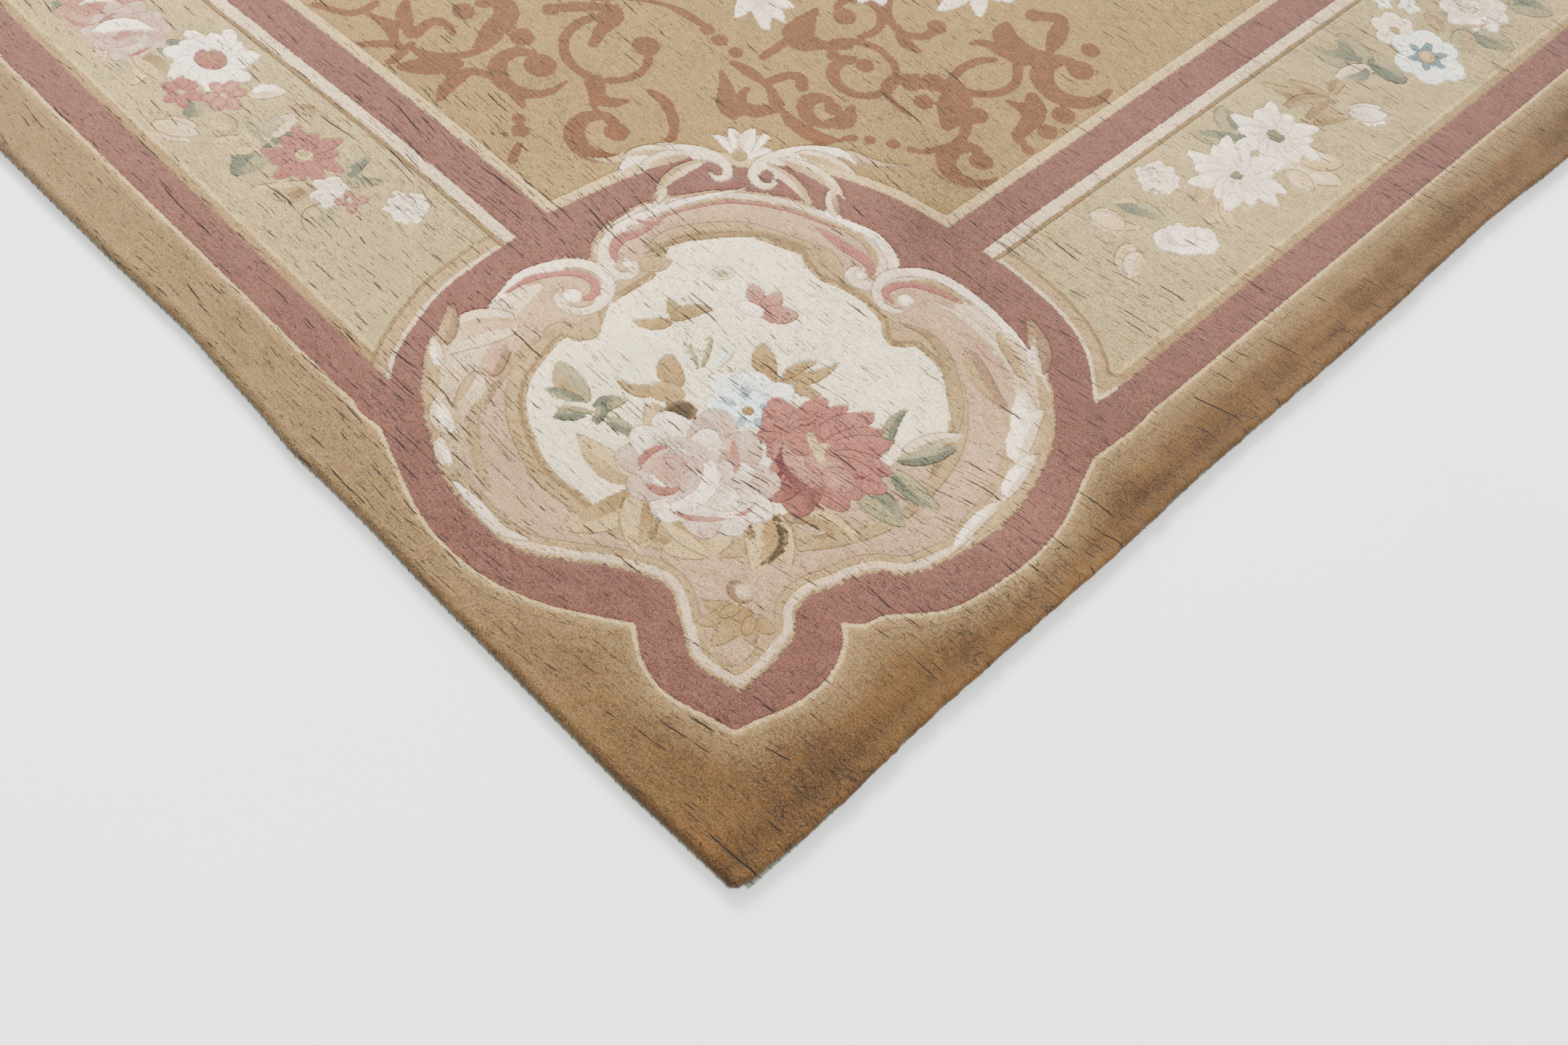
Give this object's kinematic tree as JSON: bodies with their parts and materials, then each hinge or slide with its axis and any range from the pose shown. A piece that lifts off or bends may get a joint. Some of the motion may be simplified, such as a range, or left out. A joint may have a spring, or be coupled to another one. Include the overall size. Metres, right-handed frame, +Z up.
{
  "type": "savonnerie rug",
  "caption": "Large hand-knotted wool pile rug with a floral border, scrolled corner medallions and bound edges, lying flat to cover and soften a floor.",
  "frame": {"origin": "middle of the underside, on the floor", "axes": "+Z up out of the pile, +X across the width along the weft, +Y along the length along the warp"},
  "size_m": [2.7427, 3.658, 0.015],
  "materials": {
    "wool_pile": "dense cut wool pile in gold, dusty rose and cream, carved round the motifs, soft sheen",
    "edge_binding": "pale cotton tape, matte, hand stitched"
  },
  "bodies": {
    "root": {"rug_body": "wool_pile", "binding_front": "edge_binding", "binding_right": "edge_binding", "binding_back": "edge_binding", "binding_left": "edge_binding"}
  },
  "joints": []
}
